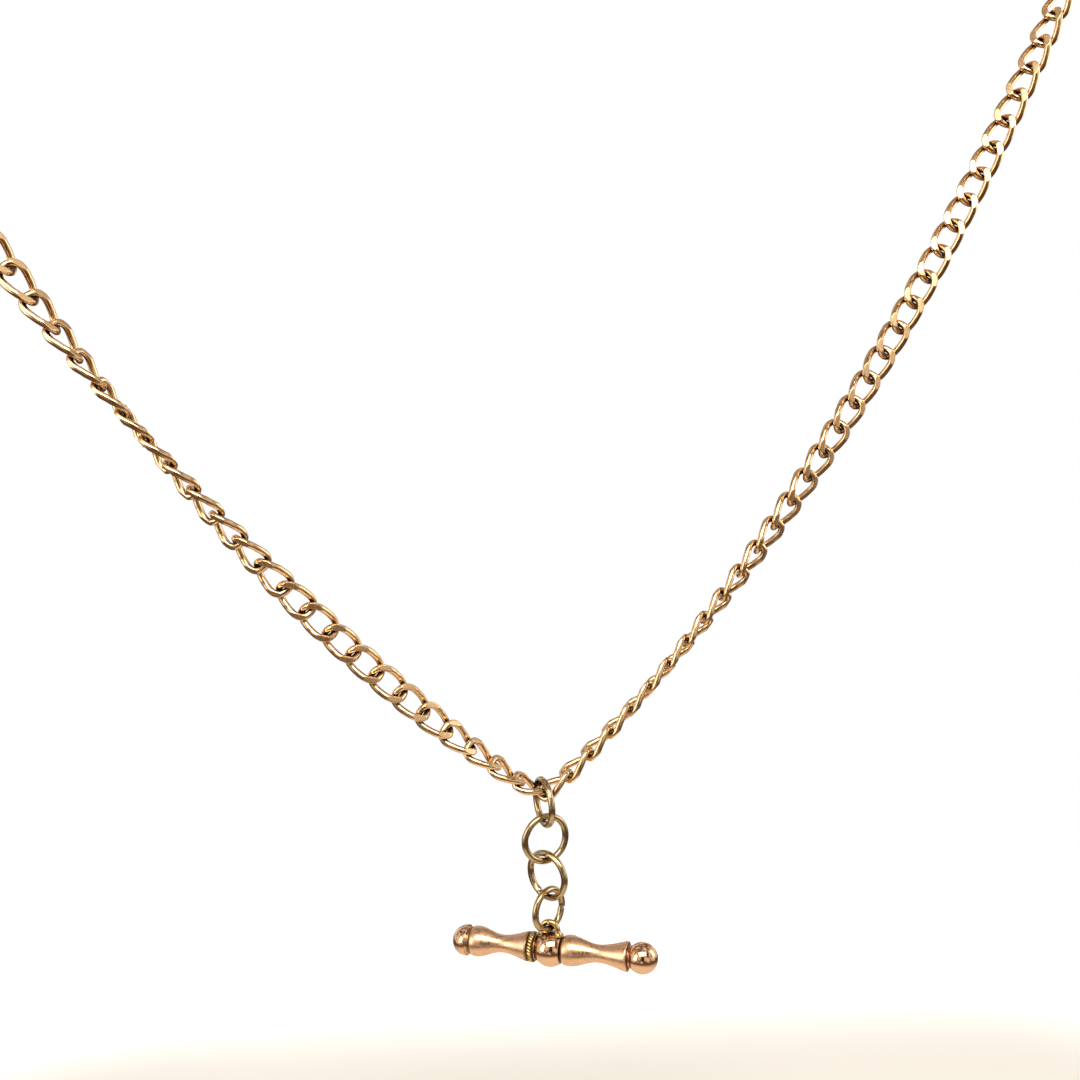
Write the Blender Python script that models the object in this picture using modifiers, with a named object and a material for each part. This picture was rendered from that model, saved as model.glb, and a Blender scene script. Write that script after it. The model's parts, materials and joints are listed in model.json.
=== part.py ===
"""A gentleman's double Albert watch chain, hanging as it is worn.

Two equal runs of filed curb links hang from two swivel clips and meet at the bottom of a V. A drop of
four jump rings hangs there, and carries the T-bar that goes through a waistcoat buttonhole.

The origin is midway between the two places where the clips are hung up. X runs from clip to clip,
-Y is the front and Z is up. Every piece of the chain and of the drop turns on an axis parallel to X or
on the wire of the ring above it.
"""

import math

import bmesh
import bpy
from mathutils import Matrix, Vector

MM = 0.001
DEG = math.pi / 180

# Curb links
LINK_PITCH = 4.2 * MM
WIRE = 0.92 * MM
PLAY = 0.08 * MM  # between two wires that bear on each other
LINK_WIDTH = 4.1 * MM
LINK_LIFT = 0.66 * MM  # how far a corner's wire stands out of the link's middle plane
LINK_THICKNESS = 1.74 * MM  # over the two filed faces
LINK_SQUARENESS = 0.88  # 1 for a true oval, less for fuller corners
LINKS_A_SIDE = 33
LOOSE_LINKS = 10  # the lowest links of each side, each a piece of its own
RUN_LENGTHS = (2, 2, 2, 2, 3, 3, 3, 3, 3)  # the links above them, in short runs
RUN_OVERLAP = 0.1 * MM  # how far each end is drawn in, so that a run's links are one solid

# The hanging line of one side: a catenary that starts with a slope, because of the weight at the bottom
CATENARY = 115.75 * MM
FOOT_SLOPE = 0.787
FOOT_SLACK = 0.34 * MM  # the lowest link of each side lies flatter than the line, and so ends later on it
FOOT_SPREAD = 0.52 * MM  # between the middle and the wire of a lowest link's end, where the two cross
FOOT_PASS = 0.26 * MM  # how far the right one's end lies in front of the line, and the left one's behind it
# (link number, turn of its flat face about the line, in degrees from the front)
LEFT_TURN = ((1, 81), (3, 63), (5, 33), (7, 9), (10, -5), (13, -45), (17, -79), (19, -95), (23, -139), (33, -185))
RIGHT_TURN = ((1, 93), (5, 111), (9, 129), (13, 155), (16, 172), (20, 191), (25, 212), (28, 223), (33, 250))

# The drop: (outer diameter, turn of its plane about Z in degrees from the X axis)
RING_WIRE = 0.92 * MM
RINGS = ((7.15 * MM, -84), (7.3 * MM, 13), (7.3 * MM, -57), (6.55 * MM, 34))
RING_1_SEAT = 2.0 * MM  # height of the top ring's wire over the lowest links' crossing
RING_4_SPLIT = 0.14 * MM  # the open butt joint of the last ring
RING_4_SPLIT_AT = -12 * DEG

# The T-bar, along its own axis from the middle of the centre ball
BAR_TURN = -32 * DEG
BALL_RADIUS = 2.5 * MM
BALL_RIGHT = 1.62 * MM  # from the middle of the centre ball to its flat right side
BALL_LEFT = 1.95 * MM
SHOULDER_RADIUS = 1.85 * MM  # of the disc on the centre ball's left side
ARM_LENGTH = 9.38 * MM
ARM_START_LEFT = -11.88 * MM
ARM_START_RIGHT = 1.92 * MM
ARM_PROFILE = (  # (share of the arm's length, radius in mm) from its bulb to its lip
    (0.0, 1.5), (0.0, 1.82), (0.025, 2.0), (0.07, 2.11), (0.14, 2.12), (0.22, 1.98), (0.32, 1.69), (0.42, 1.4),
    (0.53, 1.24), (0.64, 1.3), (0.76, 1.53), (0.88, 1.84), (0.95, 2.02), (0.985, 2.07), (1.0, 2.0),
)
END_BALL_RADIUS = 2.18 * MM
LEFT_BALL = -12.5 * MM  # centre of the end ball, which sits close to the left arm's bulb
RIGHT_BALL = 13.27 * MM
NECK_RADIUS = 1.5 * MM
GROOVE_RADIUS = 1.9 * MM
SEAM = 0.02 * MM
COLLAR_RADIUS = 2.16 * MM
COLLAR_WIDTH = 0.95 * MM
COLLAR_DEPTH = 0.64 * MM
SPIGOT_END = -2.15 * MM  # of the left arm, which the collar sits on
EYE_WIRE = 0.8 * MM
EYE_RADIUS = 1.12 * MM
EYE_HEIGHT = 2.86 * MM  # of its centre over the bar's axis

# The clips, along their own axis from the highest link's bearing point
EYE_OUTER = 5.2 * MM
SWIVEL_WIRE = 1.0 * MM
SWIVEL_TURN = {-1: 50, 1: -10}  # of the swivel eye's plane about the clip, so that it crosses the last link's wire
BARREL_BOTTOM = 4.7 * MM
BARREL_TOP = 7.9 * MM
BARREL_RADIUS = 1.8 * MM
SHANK_RADIUS = 0.65 * MM
HEAD_RADIUS = 1.1 * MM
RUNNING_FIT = 0.08 * MM
HOOK_HALF_WIDTH = 3.2 * MM  # of the opening
HOOK_HALF_HEIGHT = 5.2 * MM
HOOK_BAR = 1.9 * MM
HOOK_THICKNESS = 2.6 * MM
HOOK_EDGE = 0.25 * MM
NOSE_AT = (28, 56)  # turns of the nose's end at its outer and its inner edge: the gate closes behind it
ROOT_AT = -50
KNUCKLE_RADIUS = 1.2 * MM
TONGUE_THICKNESS = 1.0 * MM
GATE_THICKNESS = 2.1 * MM
PIN_RADIUS = 0.42 * MM
SPRING_THICKNESS = 0.22 * MM

BAR_SIDES = 18
RING_STEPS = 20
WIRE_SIDES = 6

ROSE_GOLD = ((0.80, 0.47, 0.24, 1.0), 0.28)
YELLOW_GOLD = ((0.72, 0.49, 0.21, 1.0), 0.24)
STEEL = ((0.45, 0.45, 0.47, 1.0), 0.3)


def clear_scene():
    for found in list(bpy.data.objects):
        bpy.data.objects.remove(found, do_unlink=True)


def new_collection(name):
    made = bpy.data.collections.new(name)
    bpy.context.scene.collection.children.link(made)
    return made


def metal(name, finish):
    colour, roughness = finish
    made = bpy.data.materials.new(name)
    made.use_nodes = True
    shader = made.node_tree.nodes["Principled BSDF"]
    shader.inputs["Base Color"].default_value = colour
    shader.inputs["Metallic"].default_value = 1.0
    shader.inputs["Roughness"].default_value = roughness
    return made


def add(name, mesh, collection, finish, place=None):
    """A named object of this mesh, in its collection, with a material of its own."""
    made = bpy.data.objects.new(name, mesh)
    made.matrix_world = place or Matrix()
    collection.objects.link(made)
    if finish:
        made.data.materials.clear()
        made.data.materials.append(metal(name, finish))
    return made


def hide(cutter):
    cutter.hide_render = True
    cutter.display_type = "WIRE"
    return cutter


def smooth(mesh, angle=40):
    mesh.shade_smooth()
    mesh.set_sharp_from_angle(angle=angle * DEG)


def boolean(target, other, operation):
    made = target.modifiers.new(operation.title(), "BOOLEAN")
    made.operation = operation
    made.solver = "EXACT"
    made.object = hide(other)


def mesh_of(source):
    """The evaluated object as a plain mesh, with the caps welded and the faces pointing out."""
    graph = bpy.context.evaluated_depsgraph_get()
    mesh = bpy.data.meshes.new_from_object(source.evaluated_get(graph))
    bpy.data.objects.remove(source, do_unlink=True)
    work = bmesh.new()
    work.from_mesh(mesh)
    bmesh.ops.remove_doubles(work, verts=work.verts, dist=0.002 * MM)
    bmesh.ops.recalc_face_normals(work, faces=work.faces)
    work.to_mesh(mesh)
    work.free()
    return mesh


def triangulate(mesh):
    work = bmesh.new()
    work.from_mesh(mesh)
    bmesh.ops.triangulate(work, faces=work.faces)
    work.to_mesh(mesh)
    work.free()


def curve_mesh(points, closed, radius=0.0, resolution=1, half_thickness=0.0, edge=0.0):
    """A round wire along these points, or with half_thickness the plate that they outline."""
    curve = bpy.data.curves.new("curve", "CURVE")
    curve.dimensions = "3D" if radius else "2D"
    curve.fill_mode = "FULL" if radius else "BOTH"
    curve.bevel_depth = radius or edge
    curve.bevel_resolution = resolution
    curve.use_fill_caps = True
    curve.extrude = max(half_thickness - edge, 0.0)
    curve.offset = 0.0 if radius else -edge
    spline = curve.splines.new("POLY")
    spline.points.add(len(points) - 1)
    for target, point in zip(spline.points, points):
        target.co = (*Vector(point).to_3d(), 1.0)
    spline.use_cyclic_u = closed
    source = bpy.data.objects.new("curve", curve)
    bpy.context.scene.collection.objects.link(source)
    return mesh_of(source)


def turned_mesh(profile, sides):
    """The solid that (radius, height) points sweep about Z, from the highest point to the lowest."""
    mesh = bpy.data.meshes.new("profile")
    edges = [(n, n + 1) for n in range(len(profile) - 1)]
    mesh.from_pydata([(radius, 0.0, height) for radius, height in profile], edges, [])
    source = bpy.data.objects.new("profile", mesh)
    bpy.context.scene.collection.objects.link(source)
    screw = source.modifiers.new("Screw", "SCREW")
    screw.steps = sides
    screw.render_steps = sides
    screw.use_merge_vertices = True
    screw.merge_threshold = 0.002 * MM
    return mesh_of(source)


def primitive_mesh(operator, **settings):
    operator(**settings)
    source = bpy.context.object
    for owner in list(source.users_collection):
        owner.objects.unlink(source)
    bpy.context.scene.collection.objects.link(source)
    return mesh_of(source)


def across_y(x, z, y=0.0):
    """Turns an upright primitive so that its axis runs along Y, through (x, z)."""
    return Matrix.Translation((x, y, z)) @ Matrix.Rotation(90 * DEG, 4, "X")


# ---------------------------------------------------------------- the hanging line


def line_point(length):
    """(distance from the middle, height over the foot) after this length of one side."""
    start = FOOT_SLOPE * CATENARY
    run = CATENARY * (math.asinh((start + length) / CATENARY) - math.asinh(FOOT_SLOPE))
    rise = math.hypot(CATENARY, start + length) - math.hypot(CATENARY, start)
    return run, rise


def foot_lean():
    """The slope of the lowest link, from where it bears on the next one and where its other end crosses."""
    run, _ = line_point(LINK_PITCH + FOOT_SLACK)
    return math.acos((run + FOOT_SPREAD) / (LINK_PITCH + (WIRE + PLAY) / 2))


def bearing(number, side):
    """Where a link bears on the next one up, before the whole line is brought to the origin."""
    if number == 0:
        low = bearing(1, side) - Vector((side * math.cos(foot_lean()), 0.0, math.sin(foot_lean()))) * LINK_PITCH
        return low - Vector((0.0, side * FOOT_PASS, 0.0))
    run, rise = line_point(number * LINK_PITCH + FOOT_SLACK)
    return Vector((side * run, 0.0, rise))


def clip_direction(side):
    return (bearing(LINKS_A_SIDE, side) - bearing(LINKS_A_SIDE - 1, side)).normalized()


def hook_centre():
    """Height of the middle of a clip's opening over the highest bearing point, along the clip."""
    return BARREL_TOP - 0.8 * MM + HOOK_BAR + HOOK_HALF_HEIGHT


def foot():
    """The corner that the two hanging lines would meet in, in the part's own frame."""
    seat = bearing(LINKS_A_SIDE, 1) + clip_direction(1) * (hook_centre() + HOOK_HALF_HEIGHT)
    return Vector((0.0, 0.0, -seat.z))


def between(stations, at):
    for (low, start), (high, end) in zip(stations, stations[1:]):
        if at <= high:
            return start + (end - start) * (at - low) / (high - low)
    return stations[-1][1]


def link_place(number, side):
    """A link's frame: X along the chain and Z out of its flat face."""
    low = bearing(number - 1, side)
    high = bearing(number, side)
    along = (high - low).normalized() * side
    turn = between(LEFT_TURN if side < 0 else RIGHT_TURN, number) * DEG
    front = Vector((0, -1, 0))
    face = front * math.cos(turn) + front.cross(along) * math.sin(turn)
    place = Matrix((along, face.cross(along), face)).transposed().to_4x4()
    place.translation = (low + high) / 2 + foot()
    return place


def power(value, exponent):
    return math.copysign(abs(value) ** exponent, value)


def link_mesh(draw_low=False, draw_high=False):
    """A filed curb link: an oval of wire with its corners lifted in turn, then filed flat both sides."""
    half_length = (LINK_PITCH + WIRE + PLAY) / 2
    half_width = (LINK_WIDTH - WIRE) / 2
    fuller = LINK_SQUARENESS
    steps = 14 if not (draw_low or draw_high) else 12
    points = []
    for n in range(steps):
        turn = 2 * math.pi * n / steps
        x = half_length * power(math.cos(turn), fuller)
        y = half_width * power(math.sin(turn), fuller)
        if (x > 0 and draw_high) or (x < 0 and draw_low):
            x *= 1 - RUN_OVERLAP / half_length
        points.append((x, y, -LINK_LIFT * math.sin(2 * turn)))
    mesh = curve_mesh(points, True, radius=WIRE / 2)
    for vertex in mesh.vertices:
        vertex.co.z = max(-LINK_THICKNESS / 2, min(LINK_THICKNESS / 2, vertex.co.z))
    triangulate(mesh)
    smooth(mesh, 50)
    return mesh


def side_name(side):
    return "left" if side < 0 else "right"


def loose_links(parts, mesh):
    for side in (-1, 1):
        for number in range(1, LOOSE_LINKS + 1):
            name = f"{side_name(side)}_link_{number:02d}"
            add(name, mesh.copy(), parts, ROSE_GOLD, link_place(number, side))


def link_runs(parts, cutters):
    for side in (-1, 1):
        first = LOOSE_LINKS + 1
        for length in RUN_LENGTHS:
            last = first + length - 1
            name = f"{side_name(side)}_links_{first}_to_{last}"
            run = None
            for number in range(first, last + 1):
                below = number > first
                above = number < last
                low, high = (below, above) if side > 0 else (above, below)
                mesh = link_mesh(low, high)
                place = link_place(number, side)
                if run is None:
                    run = add(name, mesh, parts, ROSE_GOLD, place)
                else:
                    boolean(run, add(f"{name}_plus_{number}", mesh, cutters, None, place), "UNION")
            first = last + 1


# ---------------------------------------------------------------- the drop


def ring_mesh(outer, steps=RING_STEPS, wire=RING_WIRE):
    return primitive_mesh(
        bpy.ops.mesh.primitive_torus_add,
        major_segments=steps,
        minor_segments=WIRE_SIDES,
        major_radius=(outer - wire) / 2,
        minor_radius=wire / 2,
    )


def split_ring_mesh(outer):
    """A ring bent from wire whose two ends don't quite meet."""
    radius = (outer - RING_WIRE) / 2
    half_gap = RING_4_SPLIT / (2 * radius)
    points = []
    for n in range(RING_STEPS + 1):
        turn = RING_4_SPLIT_AT + half_gap + (2 * math.pi - 2 * half_gap) * n / RING_STEPS
        points.append((radius * math.cos(turn), radius * math.sin(turn), 0.0))
    return curve_mesh(points, False, radius=RING_WIRE / 2)


def upright(turn):
    """Stands a flat ring up, then turns its plane about Z."""
    return Matrix.Rotation(turn, 4, "Z") @ Matrix.Rotation(90 * DEG, 4, "X")


def crossing():
    """Where the wires of the two lowest links cross."""
    low = bearing(0, 1)
    return foot() + Vector((0.0, 0.0, low.z - math.sin(foot_lean()) * (WIRE + PLAY) / 2))


def ring_centres():
    """The centre of each ring, from the top one down."""
    top = crossing() + Vector((0, 0, RING_1_SEAT))
    centres = []
    for outer, _ in RINGS:
        radius = (outer - RING_WIRE) / 2
        centres.append(top - Vector((0, 0, radius)))
        top = top - Vector((0, 0, 2 * radius - RING_WIRE - PLAY))
    return centres


def drop_rings(parts):
    for number, (centre, (outer, turn)) in enumerate(zip(ring_centres(), RINGS), 1):
        mesh = split_ring_mesh(outer) if number == len(RINGS) else ring_mesh(outer)
        smooth(mesh, 60)
        place = Matrix.Translation(centre) @ upright(turn * DEG)
        add(f"drop_ring_{number}", mesh, parts, YELLOW_GOLD, place)


def bar_centre():
    outer = RINGS[-1][0]
    lowest_wire = ring_centres()[-1] - Vector((0, 0, (outer - RING_WIRE) / 2))
    eye_top = lowest_wire + Vector((0, 0, (RING_WIRE + EYE_WIRE) / 2 + PLAY))
    return eye_top - Vector((0, 0, EYE_RADIUS + EYE_HEIGHT))


def bar_place():
    """The bar's frame, with Z along its axis from left to right."""
    return Matrix.Translation(bar_centre()) @ Matrix.Rotation(BAR_TURN, 4, "Z") @ Matrix.Rotation(90 * DEG, 4, "Y")


def arm_mesh(start, lip, spigot_end):
    """One baluster arm, bulb to lip. The left one has a spigot that the rope collar sits on."""
    profile = [(radius * MM, start + share * (lip - start)) for share, radius in ARM_PROFILE]
    if spigot_end:
        profile += [(NECK_RADIUS, lip), (NECK_RADIUS, spigot_end)]
    profile = [(0.0, start)] + profile + [(0.0, profile[-1][1])]
    return turned_mesh(profile[::-1], BAR_SIDES)


def arc(radius, middle, first, last, steps):
    """Points of a ball's profile, by the turn from its upper pole in degrees."""
    turns = [math.radians(first + (last - first) * n / steps) for n in range(steps + 1)]
    return [(radius * math.sin(turn), middle + radius * math.cos(turn)) for turn in turns]


def centre_ball_mesh():
    """The middle ball, cut flat at both sides, with a thin disc towards the rope collar."""
    right = math.degrees(math.acos(BALL_RIGHT / BALL_RADIUS))
    left = math.degrees(math.acos(-BALL_LEFT / BALL_RADIUS))
    end = SPIGOT_END + SEAM
    profile = [(0.0, BALL_RIGHT)] + arc(BALL_RADIUS, 0.0, right, left, 8)
    profile += [(SHOULDER_RADIUS, -BALL_LEFT), (SHOULDER_RADIUS, end), (0.0, end)]
    return turned_mesh(profile, BAR_SIDES)


def left_ball_mesh():
    """The left end ball: a dome whose flat back stands close to the arm's bulb, on a low groove."""
    low = ARM_START_LEFT - SEAM
    back = LEFT_BALL + 0.1 * MM
    edge = math.degrees(math.acos((back - LEFT_BALL) / END_BALL_RADIUS))
    profile = [(0.0, low), (GROOVE_RADIUS, low), (GROOVE_RADIUS, back)]
    return turned_mesh(profile + arc(END_BALL_RADIUS, LEFT_BALL, edge, 180, 8), BAR_SIDES)


def right_ball_mesh():
    """The right end ball, nearly whole, with the short neck that joins it to the arm's lip."""
    low = ARM_START_RIGHT + ARM_LENGTH + SEAM
    last = 180 - math.degrees(math.asin(NECK_RADIUS / END_BALL_RADIUS))
    profile = arc(END_BALL_RADIUS, RIGHT_BALL, 0, last, 10) + [(NECK_RADIUS, low), (0.0, low)]
    return turned_mesh(profile, BAR_SIDES)


def collar_mesh():
    """The rope wire collar, as a ring of the same size."""
    inner = NECK_RADIUS + SEAM
    high = SPIGOT_END - SEAM
    low = high - COLLAR_WIDTH
    middle = COLLAR_RADIUS - COLLAR_DEPTH / 2
    across = arc(COLLAR_WIDTH / 2, (low + high) / 2, 0, 180, 6)
    rim = [(middle + x * COLLAR_DEPTH / COLLAR_WIDTH, z) for x, z in across]
    return turned_mesh([(inner, high)] + rim + [(inner, low), (inner, high)], BAR_SIDES)


def bar_eye(parts, cutters, place):
    """The eye that the last ring holds: an arch of wire whose flared feet stand on the ball."""
    at = Matrix.Translation(bar_centre()) @ Matrix.Rotation(BAR_TURN, 4, "Z")
    ring = ring_mesh(2 * EYE_RADIUS + EYE_WIRE, 16, EYE_WIRE)
    smooth(ring, 60)
    over = at @ Matrix.Translation((0, 0, EYE_HEIGHT))
    eye = add("bar_eye", ring, parts, YELLOW_GOLD, over @ upright(0.0))
    for side in (-1, 1):
        foot_mesh = primitive_mesh(
            bpy.ops.mesh.primitive_cone_add, vertices=12, radius1=0.64 * MM, radius2=0.4 * MM, depth=1.3 * MM
        )
        stand = at @ Matrix.Translation((side * EYE_RADIUS, 0, EYE_HEIGHT - 0.65 * MM))
        boolean(eye, add(f"eye_foot_{side}", foot_mesh, cutters, None, stand), "UNION")
    seat = primitive_mesh(
        bpy.ops.mesh.primitive_uv_sphere_add, segments=24, ring_count=16, radius=BALL_RADIUS + 2 * SEAM
    )
    boolean(eye, add("eye_seat", seat, cutters, None, place), "DIFFERENCE")


def t_bar(parts, cutters):
    place = bar_place()
    left_lip = SPIGOT_END - COLLAR_WIDTH - 2 * SEAM
    pieces = {
        "bar_left_ball": (left_ball_mesh(), ROSE_GOLD),
        "bar_left_arm": (arm_mesh(ARM_START_LEFT, left_lip, SPIGOT_END), ROSE_GOLD),
        "bar_rope_collar": (collar_mesh(), YELLOW_GOLD),
        "bar_centre_ball": (centre_ball_mesh(), ROSE_GOLD),
        "bar_right_arm": (arm_mesh(ARM_START_RIGHT, ARM_START_RIGHT + ARM_LENGTH, None), ROSE_GOLD),
        "bar_right_ball": (right_ball_mesh(), ROSE_GOLD),
    }
    for name, (mesh, finish) in pieces.items():
        smooth(mesh)
        add(name, mesh, parts, finish, place)
    bar_eye(parts, cutters, place)


# ---------------------------------------------------------------- the clips


def clip_place(side):
    """A clip's frame: Z along the clip, away from the chain, Y to the back and X away from the middle."""
    up = clip_direction(side)
    back = Vector((0, 1, 0))
    out = back.cross(up)
    place = Matrix((out, back, up)).transposed().to_4x4()
    place.translation = bearing(LINKS_A_SIDE, side) + foot()
    return place


def oval(turn, inset=0.0):
    """A point of the hook's opening, or outside it by a negative inset, as seen from the front."""
    x = (HOOK_HALF_WIDTH - inset) * math.cos(turn * DEG)
    z = (HOOK_HALF_HEIGHT - inset) * math.sin(turn * DEG)
    return x, hook_centre() + z


def stretch(first, last, steps):
    return [first + (last - first) * n / steps for n in range(steps + 1)]


def band(first, last, inner, outer, side, steps):
    """The outline of a stretch of the hook's oval, between two distances outside its opening.

    Each end is given by its turns at the outer and at the inner edge.
    """
    points = [oval(turn, -outer) for turn in stretch(first[0], last[0], steps)]
    points += [oval(turn, -inner) for turn in stretch(last[1], first[1], steps)]
    return [(side * x, z) for x, z in points]


def plate(name, points, thickness, edge, owner, finish, place):
    """A flat piece of this front outline, centred on the clip's middle plane."""
    mesh = curve_mesh(points, True, resolution=0, half_thickness=thickness / 2, edge=edge)
    mesh.transform(Matrix.Rotation(90 * DEG, 4, "X"))
    smooth(mesh, 35)
    return add(name, mesh, owner, finish, place)


def disc(name, radius, thickness, x, z, owner, finish, place, sides=16):
    mesh = primitive_mesh(
        bpy.ops.mesh.primitive_cylinder_add, vertices=sides, radius=radius, depth=thickness
    )
    mesh.transform(across_y(x, z))
    smooth(mesh)
    return add(name, mesh, owner, finish, place)


def barrel_mesh():
    """The hook's barrel, with the bore that the swivel's shank turns in and the room for its head."""
    bore = SHANK_RADIUS + RUNNING_FIT
    room = HEAD_RADIUS + RUNNING_FIT
    floor = BARREL_BOTTOM + 0.9 * MM
    roof = BARREL_TOP - 0.9 * MM
    profile = [
        (0.0, BARREL_TOP), (BARREL_RADIUS * 0.8, BARREL_TOP), (BARREL_RADIUS, BARREL_TOP - 0.4 * MM),
        (BARREL_RADIUS, BARREL_BOTTOM + 0.5 * MM), (BARREL_RADIUS * 0.86, BARREL_BOTTOM),
        (bore, BARREL_BOTTOM), (bore, floor), (room, floor), (room, roof), (0.0, roof),
    ]
    return turned_mesh(profile, 16)


def swivel_mesh():
    """The swivel's shank and head, which the eye is joined to."""
    low = EYE_OUTER - SWIVEL_WIRE * 1.5 - PLAY / 2
    floor = BARREL_BOTTOM + 0.9 * MM + RUNNING_FIT
    head = floor + 1.0 * MM
    profile = [
        (0.0, head), (HEAD_RADIUS * 0.8, head), (HEAD_RADIUS, head - 0.25 * MM), (HEAD_RADIUS, floor),
        (SHANK_RADIUS, floor), (SHANK_RADIUS, low + 0.9 * MM), (SHANK_RADIUS * 1.5, low + 0.5 * MM),
        (SHANK_RADIUS * 1.2, low - 0.1 * MM), (0.0, low - 0.1 * MM),
    ]
    return turned_mesh(profile, 12)


def swivel(parts, cutters, side, place):
    mesh = ring_mesh(EYE_OUTER, 18, SWIVEL_WIRE)
    smooth(mesh, 60)
    centre = EYE_OUTER / 2 - SWIVEL_WIRE - PLAY / 2
    at = place @ Matrix.Translation((0, 0, centre)) @ upright(SWIVEL_TURN[side] * DEG)
    eye = add(f"{side_name(side)}_swivel_eye", mesh, parts, YELLOW_GOLD, at)
    shank = add(f"{side_name(side)}_shank", swivel_mesh(), cutters, None, place)
    boolean(eye, shank, "UNION")


def pin_point(side):
    middle = HOOK_BAR / 2
    x, z = oval(ROOT_AT, -middle)
    return side * x, z


def hook_body(parts, cutters, side, place):
    name = f"{side_name(side)}_hook_body"
    root = 360 + ROOT_AT
    outline = band(NOSE_AT, (root, root), 0.0, HOOK_BAR, side, 22)
    body = plate(name, outline, HOOK_THICKNESS, HOOK_EDGE, parts, ROSE_GOLD, place)
    x, z = pin_point(side)
    cutting = (f"{name}_knuckle", KNUCKLE_RADIUS, HOOK_THICKNESS - 0.1 * MM, x, z)
    boolean(body, disc(*cutting, cutters, None, place), "UNION")
    boolean(body, add(f"{name}_barrel", barrel_mesh(), cutters, None, place), "UNION")
    slot = KNUCKLE_RADIUS + 3 * RUNNING_FIT
    cutting = (f"{name}_slot", slot, TONGUE_THICKNESS + 2 * RUNNING_FIT, x, z)
    boolean(body, disc(*cutting, cutters, None, place), "DIFFERENCE")
    cutting = (f"{name}_pin_hole", PIN_RADIUS + SEAM, 2 * HOOK_THICKNESS, x, z)
    boolean(body, disc(*cutting, cutters, None, place, 12), "DIFFERENCE")


def gate(parts, cutters, side, place):
    """The sprung gate, which turns inwards about its pin to let a bow into the hook."""
    name = f"{side_name(side)}_gate"
    low = ROOT_AT + 16
    tip = (NOSE_AT[0] - 1.2, NOSE_AT[1] - 3.8)
    outline = band((low, low), tip, 0.1 * MM, HOOK_BAR - 0.1 * MM, side, 12)
    made = plate(name, outline, GATE_THICKNESS, HOOK_EDGE, parts, ROSE_GOLD, place)
    high = ROOT_AT + 26
    outline = band((ROOT_AT, ROOT_AT), (high, high), 0.35 * MM, HOOK_BAR - 0.35 * MM, side, 5)
    tongue = plate(f"{name}_tongue", outline, TONGUE_THICKNESS, 0.0, cutters, None, place)
    boolean(made, tongue, "UNION")
    x, z = pin_point(side)
    cutting = (f"{name}_knuckle", KNUCKLE_RADIUS - 0.1 * MM, TONGUE_THICKNESS - 0.04 * MM, x, z)
    boolean(made, disc(*cutting, cutters, None, place), "UNION")
    thumb_x, thumb_z = oval(4, -HOOK_BAR)
    cutting = (f"{name}_thumb_piece", 0.8 * MM, GATE_THICKNESS - 0.3 * MM, side * thumb_x, thumb_z)
    boolean(made, disc(*cutting, cutters, None, place, 12), "UNION")
    cutting = (f"{name}_pin_hole", PIN_RADIUS + RUNNING_FIT, 2 * HOOK_THICKNESS, x, z)
    boolean(made, disc(*cutting, cutters, None, place, 12), "DIFFERENCE")


def gate_pin(parts, side, place):
    x, z = pin_point(side)
    pin = (f"{side_name(side)}_gate_pin", PIN_RADIUS, HOOK_THICKNESS - 0.1 * MM, x, z)
    disc(*pin, parts, STEEL, place, 12)


def gate_spring(parts, side, place):
    """A leaf on the hook's floor, whose free end bears on the root of the gate."""
    outline = band((-118, -118), (-68, -68), -0.07 * MM - SPRING_THICKNESS, -0.07 * MM, side, 8)
    plate(f"{side_name(side)}_gate_spring", outline, 1.4 * MM, 0.0, parts, STEEL, place)


def clips(parts, cutters):
    for side in (-1, 1):
        place = clip_place(side)
        swivel(parts, cutters, side, place)
        hook_body(parts, cutters, side, place)
        gate(parts, cutters, side, place)
        gate_pin(parts, side, place)
        gate_spring(parts, side, place)


def main():
    clear_scene()
    parts = new_collection("watch_chain")
    cutters = new_collection("cutters")
    loose_links(parts, link_mesh())
    link_runs(parts, cutters)
    drop_rings(parts)
    t_bar(parts, cutters)
    clips(parts, cutters)


main()
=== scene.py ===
import json
import math

import bmesh
import bpy
import numpy as np
from mathutils import Matrix, Vector
from mathutils.bvhtree import BVHTree

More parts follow.
